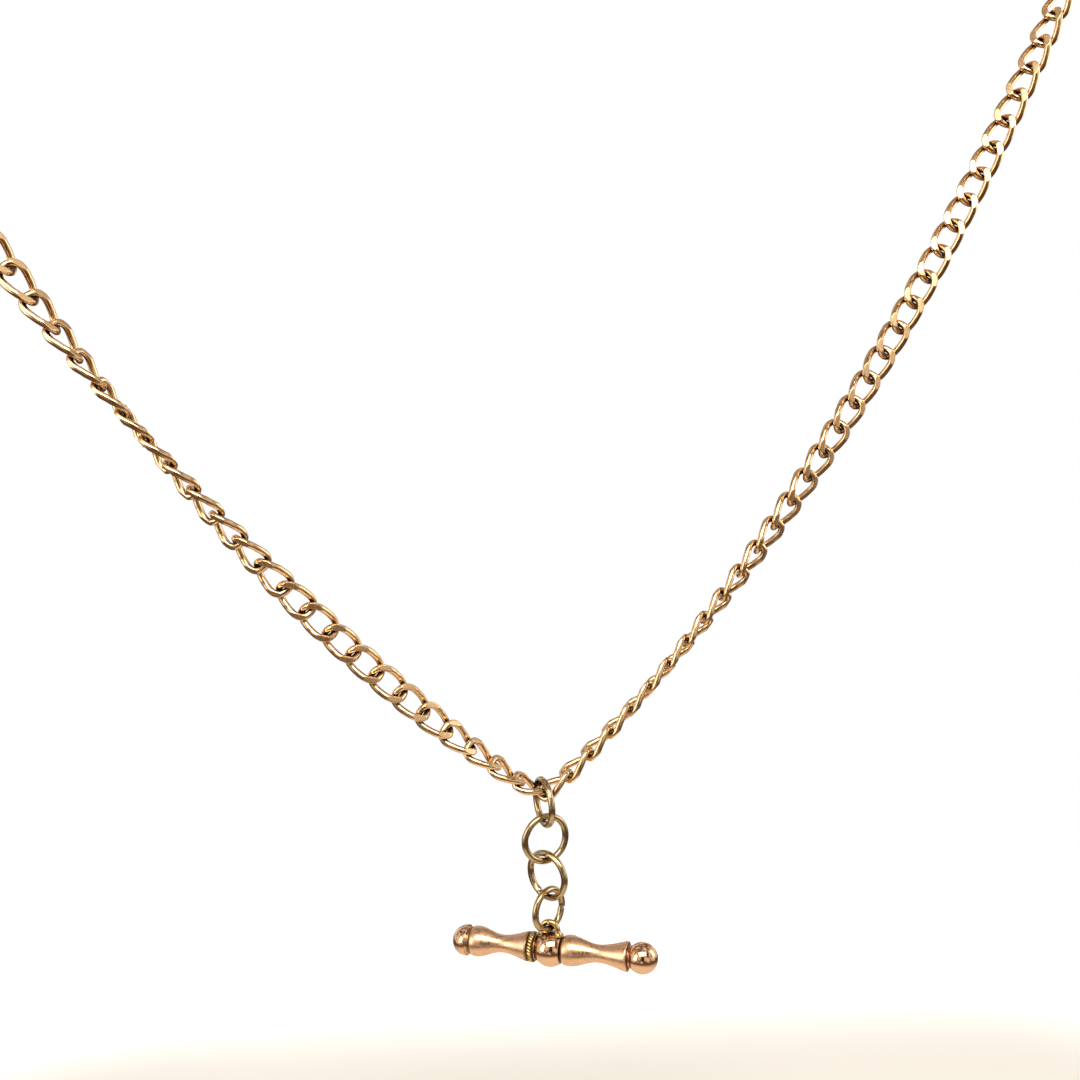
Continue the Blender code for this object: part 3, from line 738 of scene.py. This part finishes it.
def plate(points, thickness, edge):
    """A flat piece of this front outline, with rounded edges."""
    curve = bpy.data.curves.new("plate", "CURVE")
    curve.dimensions = "2D"
    curve.fill_mode = "BOTH"
    curve.bevel_depth = edge
    curve.bevel_resolution = 4
    curve.extrude = thickness / 2 - edge
    curve.offset = -edge
    spline = curve.splines.new("POLY")
    spline.points.add(len(points) - 1)
    for target, (x, y) in zip(spline.points, points):
        target.co = (x, y, 0.0, 1.0)
    spline.use_cyclic_u = True
    source = bpy.data.objects.new("plate", curve)
    bpy.context.scene.collection.objects.link(source)
    mesh = evaluated(source)
    work = bmesh.new()
    work.from_mesh(mesh)
    bmesh.ops.remove_doubles(work, verts=work.verts, dist=0.002 * MM)
    bmesh.ops.recalc_face_normals(work, faces=work.faces)
    work.to_mesh(mesh)
    work.free()
    mesh.transform(Matrix.Rotation(90 * DEG, 4, "X"))
    return mesh


def knuckle(radius, thickness, x, z, dome=0.0, edge=0.1 * MM, sides=40):
    """A round disc or rivet across the clip, domed at both ends."""
    half = thickness / 2
    end = [(0.0, half + dome), (radius * 0.55, half + dome * 0.72), (radius, half)]
    mesh = turned("knuckle", eased(end + [(r, -h) for r, h in reversed(end)], edge), sides)
    mesh.transform(Matrix.Translation((x, 0, z)) @ Matrix.Rotation(90 * DEG, 4, "X"))
    return mesh


def barrel():
    """The hook's barrel, turned with a bead at each end, and the bore of the swivel."""
    bore = SHANK_RADIUS + RUNNING_FIT
    room = HEAD_RADIUS + RUNNING_FIT
    low, high = BARREL_BOTTOM + BARREL_WALL, BARREL_TOP - BARREL_WALL
    waist = BARREL_RADIUS - 0.22 * MM
    bead = BARREL_BOTTOM + 0.75 * MM
    neck = BARREL_TOP - 0.85 * MM
    profile = [
        (0.0, BARREL_TOP), (BARREL_RADIUS * 0.85, BARREL_TOP), (BARREL_RADIUS, BARREL_TOP - 0.25 * MM),
        (BARREL_RADIUS, neck), (waist, neck - 0.14 * MM), (waist, bead + 0.14 * MM), (BARREL_RADIUS, bead),
        (BARREL_RADIUS, BARREL_BOTTOM + 0.25 * MM), (BARREL_RADIUS * 0.84, BARREL_BOTTOM),
        (bore, BARREL_BOTTOM), (bore, low), (room, low), (room, high), (0.0, high),
    ]
    return turned("barrel", eased(profile, 0.09 * MM), 64)


def clip_hook(name, side):
    root = 360 + ROOT_AT
    mesh = plate(band(NOSE_AT, (root, root), 0.0, HOOK_BAR, side, 72), HOOK_THICKNESS, HOOK_EDGE)
    x, z = pin_point(side)
    mesh = combine(mesh, [knuckle(KNUCKLE_RADIUS, HOOK_THICKNESS - 0.1 * MM, x, z), barrel()], "UNION")
    slot = knuckle(KNUCKLE_RADIUS + 3 * RUNNING_FIT, TONGUE_THICKNESS + 2 * RUNNING_FIT, x, z, 0.0, 0.01 * MM)
    hole = knuckle(PIN_RADIUS + SEAM, 2 * HOOK_THICKNESS, x, z)
    return combine(mesh, [slot, hole], "DIFFERENCE")


def pin_point(side):
    x, z = oval(ROOT_AT, -HOOK_BAR / 2)
    return side * x, z


def clip_gate(name, side):
    low, high = ROOT_AT + 16, ROOT_AT + 26
    tip = (NOSE_AT[0] - 1.2, NOSE_AT[1] - 3.8)
    outline = band((low, low), tip, 0.1 * MM, HOOK_BAR - 0.1 * MM, side, 40)
    mesh = plate(outline, GATE_THICKNESS, GATE_EDGE)
    tongue = band((ROOT_AT, ROOT_AT), (high, high), 0.35 * MM, HOOK_BAR - 0.35 * MM, side, 16)
    x, z = pin_point(side)
    thumb_x, thumb_z = oval(4, -HOOK_BAR)
    parts = [
        plate(tongue, TONGUE_THICKNESS, 0.02 * MM),
        knuckle(KNUCKLE_RADIUS - 0.1 * MM, TONGUE_THICKNESS - 0.04 * MM, x, z, 0.0, 0.04 * MM),
        knuckle(0.8 * MM, GATE_THICKNESS - 0.4 * MM, side * thumb_x, thumb_z, 0.1 * MM),
    ]
    mesh = combine(mesh, parts, "UNION")
    return combine(mesh, [knuckle(PIN_RADIUS + RUNNING_FIT, 2 * HOOK_THICKNESS, x, z)], "DIFFERENCE")


def swivel_eye(name, side):
    """The swivel's eye, soldered to the shank whose head turns in the barrel."""
    radius = (EYE_OUTER - SWIVEL_WIRE) / 2
    ring = solid_mesh(name, *tube(circle(radius, 96), SWIVEL_WIRE / 2, 28, True)[:2])
    centre = EYE_OUTER / 2 - SWIVEL_WIRE - PLAY / 2
    ring.transform(Matrix.Translation((0, 0, centre)) @ upright(SWIVEL_TURN[side] * DEG))
    low = EYE_OUTER - SWIVEL_WIRE * 1.5 - PLAY / 2
    head = BARREL_BOTTOM + BARREL_WALL + RUNNING_FIT
    profile = [
        (0.0, head + MM), (0.9 * MM, head + MM), (HEAD_RADIUS, head + 0.75 * MM), (HEAD_RADIUS, head),
        (SHANK_RADIUS, head), (SHANK_RADIUS, low + 0.9 * MM), (SHANK_RADIUS * 1.5, low + 0.45 * MM),
        (SHANK_RADIUS * 1.2, low - 0.1 * MM), (0.0, low - 0.1 * MM),
    ]
    return combine(ring, [turned("shank", eased(profile, 0.06 * MM), 40)], "UNION")


def clips():
    for side in (-1, 1):
        hand = side_name(side)
        place = clip_place(side)
        for ending, node, build, body in (
            ("clip_hook", "hook_body", clip_hook, "clips"),
            ("clip_gate", "gate", clip_gate, f"{hand}_gate"),
            ("swivel", "swivel_eye", swivel_eye, f"{hand}_swivel"),
        ):
            name = f"{hand}_{ending}"
            mesh = plain_wire(build(name, side))
            mesh.shade_smooth()
            mesh.set_sharp_from_angle(angle=38 * DEG)
            piece(name, mesh, body, "clip_gold", place, [f"{hand}_{node}"])
        x, z = pin_point(side)
        rivet = knuckle(PIN_RADIUS, HOOK_THICKNESS, x, z, 0.1 * MM, 0.05 * MM, 32)
        rivet.set_sharp_from_angle(angle=50 * DEG)
        piece(f"{hand}_gate_rivet", rivet, "clips", "steel", place, [f"{hand}_gate_pin"])
        PIECES.append(frame["nodes"][f"{hand}_gate_spring"])


# ---------------------------------------------------------------- soil and painted shade


def soil_and_shade(reach=SOIL_AND_SHADE_REACH):
    """Marks how near each point is to another piece: polish doesn't reach there, dirt gathers, and shade is
    painted.
    """
    shown = [o for o in PIECES if "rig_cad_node" not in o]
    points = [np.array([v.co[:] for v in o.data.vertices]) for o in shown]
    boxes = [(p.min(axis=0) - reach, p.max(axis=0) + reach) for p in points]
    faces = [[f.vertices[:] for f in o.data.polygons] for o in shown]
    trees = [BVHTree.FromPolygons(own.tolist(), sides) for own, sides in zip(points, faces)]
    for n, (thing, own) in enumerate(zip(shown, points)):
        near = np.zeros(len(own))
        for m, tree in enumerate(trees):
            low, high = boxes[m]
            if m == n or (boxes[n][0] > high).any() or (boxes[n][1] < low).any():
                continue
            for index in np.flatnonzero(((own > low) & (own < high)).all(axis=1)):
                found = tree.find_nearest(own[index], reach)
                if found[0] is not None:
                    near[index] = max(near[index], 1 - found[3] / reach)
        made = thing.data.attributes.new("soil_and_shade", "FLOAT", "POINT")
        made.data.foreach_set("value", near.astype(np.float32))


# ---------------------------------------------------------------- materials


class Graph:
    """A material's nodes, made one at a time."""

    def __init__(self, name):
        self.material = bpy.data.materials.new(name)
        self.material.use_nodes = True
        self.tree = self.material.node_tree
        self.shader = self.tree.nodes["Principled BSDF"]

    def give(self, node, inputs):
        for key, value in inputs.items():
            if isinstance(value, bpy.types.NodeSocket):
                self.tree.links.new(value, node.inputs[key])
            else:
                node.inputs[key].default_value = value

    def add(self, kind, inputs, output=0, **settings):
        node = self.tree.nodes.new("ShaderNode" + kind)
        for key, value in settings.items():
            setattr(node, key, value)
        self.give(node, inputs)
        return node.outputs[output]

    def maths(self, operation, a, b):
        return self.add("Math", {0: a, 1: b}, operation=operation)

    def mark(self, name, output="Fac"):
        return self.add("Attribute", {}, output, attribute_name=name)

    def scaled(self, vector, scale):
        return self.add("Mapping", {"Vector": vector, "Scale": scale})

    def noise(self, vector, scale, detail=3.0, roughness=0.55):
        wanted = {"Vector": vector, "Scale": scale, "Detail": detail, "Roughness": roughness}
        return self.add("TexNoise", wanted)

    def spread(self, value, low, high, to_low=0.0, to_high=1.0):
        """Turns the stretch from low to high into one from to_low to to_high, eased at both ends."""
        wanted = {"Value": value, "From Min": low, "From Max": high, "To Min": to_low, "To Max": to_high}
        return self.add("MapRange", wanted, interpolation_type="SMOOTHSTEP")

    def mix(self, share, a, b):
        return self.add("Mix", {0: share, 6: a, 7: b}, 2, data_type="RGBA")

    def shade(self, **inputs):
        self.give(self.shader, {key.replace("_", " "): value for key, value in inputs.items()})
        return self.material


def gold(name, bright, deep, dirt_and_shade, rough, grain, fleck, soiled_and_shaded, files=False):
    """Worn gold: drawn or turned lines, polish that fades into the corners, and dirt with painted shade in
    the crevices.

    grain is how fine the lines are along the work, and across it in both directions. fleck is how much
    of the deep colour shows, and the next number how much of the dark crevice colour, dirt and painted shade,
    shows.
    """
    graph = Graph(name)
    place = graph.scaled(graph.add("TexCoord", {}, "Object"), (1 / MM,) * 3)
    wire = graph.mark("wire", "Vector")
    near = graph.mark("soil_and_shade")
    cloud = graph.noise(place, 0.45, 4.0)
    patch = graph.noise(place, 1.9, 3.0)
    lines = graph.noise(graph.scaled(wire, grain), 1.0, 4.0, 0.6)
    specks = graph.noise(place, 9.0, 2.0)
    clouded = graph.spread(cloud, 0.3, 0.7, -0.25, fleck)
    tone = graph.maths("ADD", clouded, graph.spread(lines, 0.3, 0.7, -0.1, 0.18))
    # Near other pieces the gold turns rougher and towards its deep colour: less polish, and painted shade.
    unpolished_and_shaded = graph.spread(near, 0.25, 0.95)
    share = graph.maths("ADD", tone, graph.maths("MULTIPLY", unpolished_and_shaded, 0.55))
    metal = graph.mix(graph.spread(share, 0.0, 1.0), (*bright, 1), (*deep, 1))
    # Painted shade and dirt: in patches, the crevices near other pieces darken towards the dark crevice
    # colour.
    patchy = graph.spread(patch, 0.3, 0.62, 0.6 * soiled_and_shaded, soiled_and_shaded)
    black = graph.maths("MULTIPLY", graph.spread(near, 0.22, 0.7), patchy)
    colour = graph.mix(black, metal, (*dirt_and_shade, 1))
    polish = graph.spread(patch, 0.25, 0.75, rough * 0.75, rough * 1.35)
    gloss = graph.maths("ADD", polish, graph.maths("MULTIPLY", unpolished_and_shaded, 0.2))
    gloss = graph.maths("ADD", gloss, graph.spread(lines, 0.35, 0.75, -0.02, 0.05))
    height = graph.maths("ADD", lines, graph.maths("MULTIPLY", specks, 0.15))
    if files:
        filed = graph.mark("filed")
        strokes = graph.noise(graph.scaled(place, (7.0, 0.8, 7.0)), 1.6, 3.0, 0.6)
        deep_strokes = graph.maths("MULTIPLY", strokes, 2.5)
        height = graph.maths("ADD", height, graph.maths("MULTIPLY", filed, deep_strokes))
        gloss = graph.maths("ADD", gloss, graph.maths("MULTIPLY", filed, 0.16))
    bump = graph.add("Bump", {"Strength": 1.0, "Distance": BUMP, "Height": height}, 0)
    return graph.shade(Base_Color=colour, Roughness=gloss, Normal=bump, Metallic=1.0)


def blued_steel(name):
    graph = Graph(name)
    place = graph.scaled(graph.add("TexCoord", {}, "Object"), (1 / MM,) * 3)
    patch = graph.noise(place, 1.4, 4.0)
    lines = graph.noise(graph.scaled(place, (1.0, 14.0, 1.0)), 1.5, 3.0)
    colour = graph.mix(graph.spread(patch, 0.3, 0.7), (0.38, 0.38, 0.41, 1), (0.2, 0.17, 0.15, 1))
    gloss = graph.spread(lines, 0.3, 0.7, 0.24, 0.42)
    bump = graph.add("Bump", {"Strength": 1.0, "Distance": 0.004 * MM, "Height": lines}, 0)
    return graph.shade(Base_Color=colour, Roughness=gloss, Normal=bump, Metallic=1.0)


def finish_pieces():
    """Gives each piece its slot's finish. The T-bar's balls are smoother than its arms."""
    golds = (
        ("chain_gold", (0.86, 0.56, 0.29), (0.62, 0.34, 0.13), SOOT_AND_SHADE, 0.16, DRAWN, 0.35, 1.0, True),
        ("ring_gold", (0.49, 0.355, 0.18), (0.32, 0.21, 0.08), SOOT_AND_SHADE, 0.16, DRAWN, 0.35, 0.7),
        ("bar_gold", (0.80, 0.48, 0.28), (0.64, 0.36, 0.18), TARNISH_AND_SHADE, 0.3, LATHE, 0.2, 0.7),
        ("ball_gold", (0.80, 0.48, 0.28), (0.64, 0.36, 0.18), TARNISH_AND_SHADE, 0.1, LATHE, 0.2, 0.7),
        ("collar_gold", (0.80, 0.55, 0.22), (0.46, 0.27, 0.08), SOOT_AND_SHADE, 0.17, DRAWN, 0.5, 0.85),
        ("clip_gold", (0.86, 0.55, 0.29), (0.62, 0.34, 0.13), SOOT_AND_SHADE, 0.17, CAST, 0.25, 0.8),
    )
    made = {name: gold(name, *looks) for name, *looks in golds}
    made["steel"] = blued_steel("steel")
    for thing in PIECES:
        thing.data.materials.clear()
        finish = "ball_gold" if thing.name.endswith("_ball") else thing.get("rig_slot", "steel")
        thing.data.materials.append(made[finish])


# ---------------------------------------------------------------- stage


def floor():
    """A pale table top under the T-bar, a little creamier towards the camera. It glows with painted light for
    the camera and shows painted shade in the metal's reflections.
    """
    low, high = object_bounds()
    mesh = bpy.data.meshes.new("floor")
    work = bmesh.new()
    bmesh.ops.create_grid(work, x_segments=1, y_segments=1, size=0.5)
    bmesh.ops.scale(work, vec=(*FLOOR_SIZE, 1), verts=work.verts)
    bmesh.ops.translate(work, vec=(0, FLOOR_BACK - FLOOR_SIZE[1] / 2, 0), verts=work.verts)
    work.to_mesh(mesh)
    work.free()
    made = bpy.data.objects.new("floor", mesh)
    bpy.context.scene.collection.objects.link(made)
    made.location = (0, 0, low.z - FLOOR_GAP)
    graph = Graph("paper")
    place = graph.add("TexCoord", {}, "Object")
    ahead = (math.sin(CAMERA_YAW), math.cos(CAMERA_YAW), 0)
    depth = graph.add("VectorMath", {0: place, 1: ahead}, "Value", operation="DOT_PRODUCT")
    reach = graph.add("VectorMath", {0: place}, "Value", operation="LENGTH")
    near = graph.spread(reach, *NEAR, 1.0, 0.0)
    cream = graph.maths("MULTIPLY", graph.spread(depth, *CREAM, 1.0, 0.0), near)
    colour = graph.mix(cream, (0.9, 0.9, 0.9, 1), (0.80, 0.765, 0.695, 1))
    # Painted reflection: glossy rays see the floor dark brown away from the T-bar, which shades the metal's
    # faces that look down.
    reflected = graph.add("LightPath", {}, "Is Glossy Ray")
    painted_reflection = graph.maths("MULTIPLY", reflected, graph.spread(reach, *DARK_IN_REFLECTIONS))
    colour = graph.mix(painted_reflection, colour, (0.1, 0.06, 0.03, 1))
    # Painted light: for the camera the floor glows, strongly where it is white and faintly where it is cream.
    seen = graph.add("LightPath", {}, "Is Camera Ray")
    glow = graph.maths("MULTIPLY", seen, graph.spread(cream, 0.0, 1.0, 0.7, 0.06))
    made.data.materials.append(
        graph.shade(Base_Color=colour, Roughness=0.9, Emission_Color=colour, Emission_Strength=glow)
    )
    made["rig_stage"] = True


def soft_box(name, at, to, size, power, colour=(1, 1, 1)):
    data = bpy.data.lights.new(name, "AREA")
    data.shape = "RECTANGLE"
    data.size, data.size_y = size
    data.energy = power
    data.color = colour
    made = bpy.data.objects.new(name, data)
    made.location = at
    made.rotation_euler = (Vector(to) - Vector(at)).to_track_quat("-Z", "Y").to_euler()
    made.visible_camera = False
    bpy.context.scene.collection.objects.link(made)


def dark_card():
    """The photographer's dark shape behind the camera, which the balls and the wires reflect."""
    mesh = bpy.data.meshes.new("dark_card")
    work = bmesh.new()
    bmesh.ops.create_grid(work, x_segments=1, y_segments=1, size=0.5)
    work.to_mesh(mesh)
    work.free()
    made = bpy.data.objects.new("dark_card", mesh)
    bpy.context.scene.collection.objects.link(made)
    made.location = CAMERA_AT + Vector((-0.012, -0.05, 0.02))
    made.scale = (0.09, 0.15, 1)
    made.rotation_euler = (90 * DEG, 0, -CAMERA_YAW)
    made.visible_camera = False
    made.visible_shadow = False
    made.visible_diffuse = False
    graph = Graph("dark_card")
    made.data.materials.append(graph.shade(Base_Color=(0.03, 0.014, 0.006, 1), Roughness=1.0))
    made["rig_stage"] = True


def room():
    """Light from all round: bright near the horizon, dimmer overhead and towards the room in front."""
    world = bpy.data.worlds.new("room")
    bpy.context.scene.world = world
    world.use_nodes = True
    tree = world.node_tree
    graph = Graph.__new__(Graph)
    graph.tree = tree
    way = graph.add("TexCoord", {}, "Generated")
    upward = graph.add("SeparateXYZ", {0: way}, 2)
    back = graph.add("SeparateXYZ", {0: way}, 1)
    high = graph.spread(upward, 0.15, 0.85, 1.0, 0.42)
    low = graph.spread(upward, -0.5, 0.05, 0.12, 1.0)
    ahead = graph.spread(back, -0.8, 0.0, 0.4, 0.9)
    behind = graph.spread(back, 0.3, 0.9, 1.0, 0.65)
    clutter = graph.spread(graph.noise(way, 2.6, 2.0), 0.4, 0.6, 0.35, 1.15)
    level = graph.maths("MULTIPLY", ahead, behind)
    light = graph.maths("MULTIPLY", graph.maths("MULTIPLY", high, clutter), level)
    light = graph.maths("MULTIPLY", light, graph.maths("MULTIPLY", low, ROOM_LIGHT))
    tint = graph.mix(graph.spread(light, 0.1, 0.8), (0.1, 0.05, 0.02, 1), (1, 1, 1, 1))
    seen = graph.add("LightPath", {}, "Is Camera Ray")
    shown = graph.mix(seen, tint, (1, 1, 1, 1))
    tree.links.new(shown, tree.nodes["Background"].inputs["Color"])


def camera():
    yaw, pitch, roll = CAMERA_YAW, CAMERA_PITCH, CAMERA_ROLL
    ahead = Vector((math.sin(yaw) * math.cos(pitch), math.cos(yaw) * math.cos(pitch), math.sin(pitch)))
    level = Vector((math.cos(yaw), -math.sin(yaw), 0.0))
    over = level.cross(ahead)
    right = level * math.cos(roll) + over * math.sin(roll)
    up = over * math.cos(roll) - level * math.sin(roll)
    data = bpy.data.cameras.new("camera")
    data.lens = CAMERA_LENS
    data.sensor_width = 36
    data.clip_start = MM
    data.clip_end = 10
    made = bpy.data.objects.new("camera", data)
    place = Matrix((right, up, -ahead)).transposed().to_4x4()
    place.translation = CAMERA_AT
    made.matrix_world = place
    bpy.context.scene.collection.objects.link(made)
    bpy.context.scene.camera = made


chain()
drop_rings()
t_bar()
clips()
soil_and_shade()
finish_pieces()
camera()
room()
floor()
dark_card()
soft_box("overhead", (-0.05, -0.22, 0.16), (0, 0, -0.13), (0.34, 0.18), 1.5, (1.0, 0.96, 0.9))
soft_box("left", (-0.4, -0.12, 0.0), (0, 0, -0.1), (0.18, 0.3), 0.45)
soft_box("right", (0.42, -0.05, 0.02), (0, 0, -0.1), (0.18, 0.3), 0.35)
bpy.context.scene.view_settings.view_transform = "Standard"
